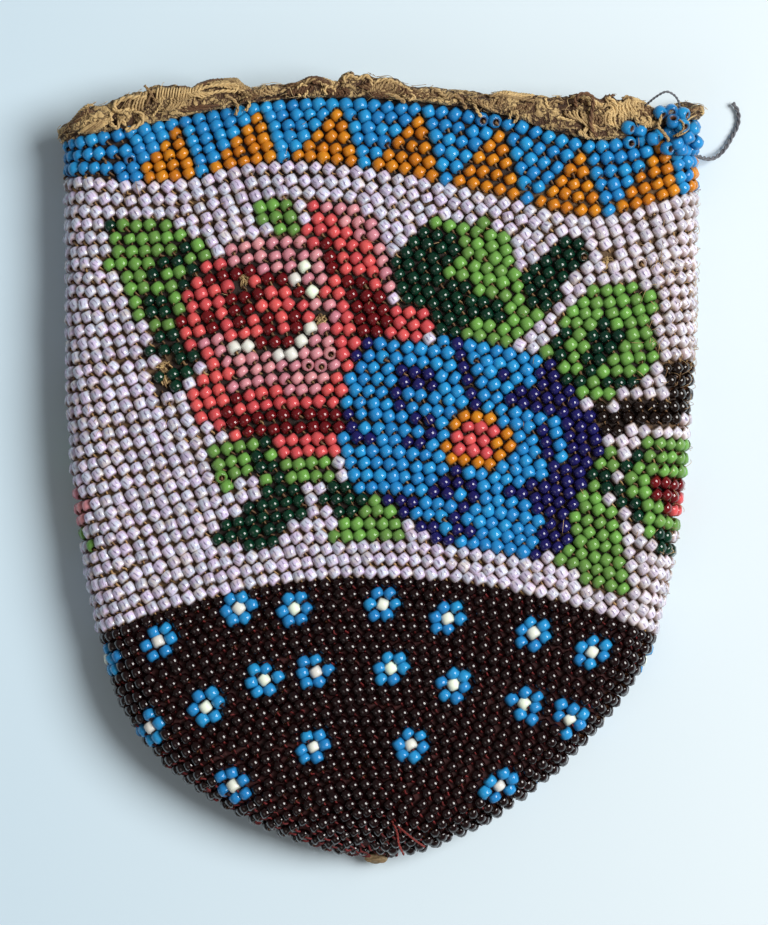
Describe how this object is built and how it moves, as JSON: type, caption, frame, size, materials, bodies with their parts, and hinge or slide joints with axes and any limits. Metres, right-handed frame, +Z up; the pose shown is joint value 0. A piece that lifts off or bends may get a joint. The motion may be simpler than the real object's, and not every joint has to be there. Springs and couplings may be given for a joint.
{
  "type": "purse",
  "caption": "Small bead-knitted pouch purse with a floral front, a pointed round base, a cloth lining and a worn rolled edging round its open mouth.",
  "frame": {"origin": "centre of the bounding box in plan, at the level of the surface that the purse lies on", "axes": "+Z up out of the purse's front, +Y towards its mouth, +X to the right as seen from above"},
  "size_m": [0.0968, 0.1114, 0.014],
  "materials": {
    "opal_beads": "gloss",
    "sky_beads": "gloss",
    "gold_beads": "gloss",
    "garnet_beads": "gloss",
    "coral_beads": "gloss",
    "pink_beads": "gloss",
    "leaf_beads": "gloss",
    "deep_leaf_beads": "gloss",
    "navy_beads": "gloss",
    "stem_beads": "gloss",
    "chalk_beads": "gloss",
    "knitting_silk": "matte",
    "lining_cloth": "matte",
    "edging_silk": "matte",
    "red_thread": "matte",
    "brown_thread": "matte",
    "grey_thread": "matte"
  },
  "bodies": {
    "root": {"beaded_pouch": "opal_beads", "lining_bag": "lining_cloth", "mouth_edging": "edging_silk", "lining_nub": "lining_cloth", "tip_thread_left": "red_thread", "tip_thread_right": "red_thread", "edge_thread_loop": "brown_thread", "corner_thread": "grey_thread", "corner_thread_arc": "grey_thread", "corner_bead_strand": "sky_beads"}
  },
  "joints": []
}
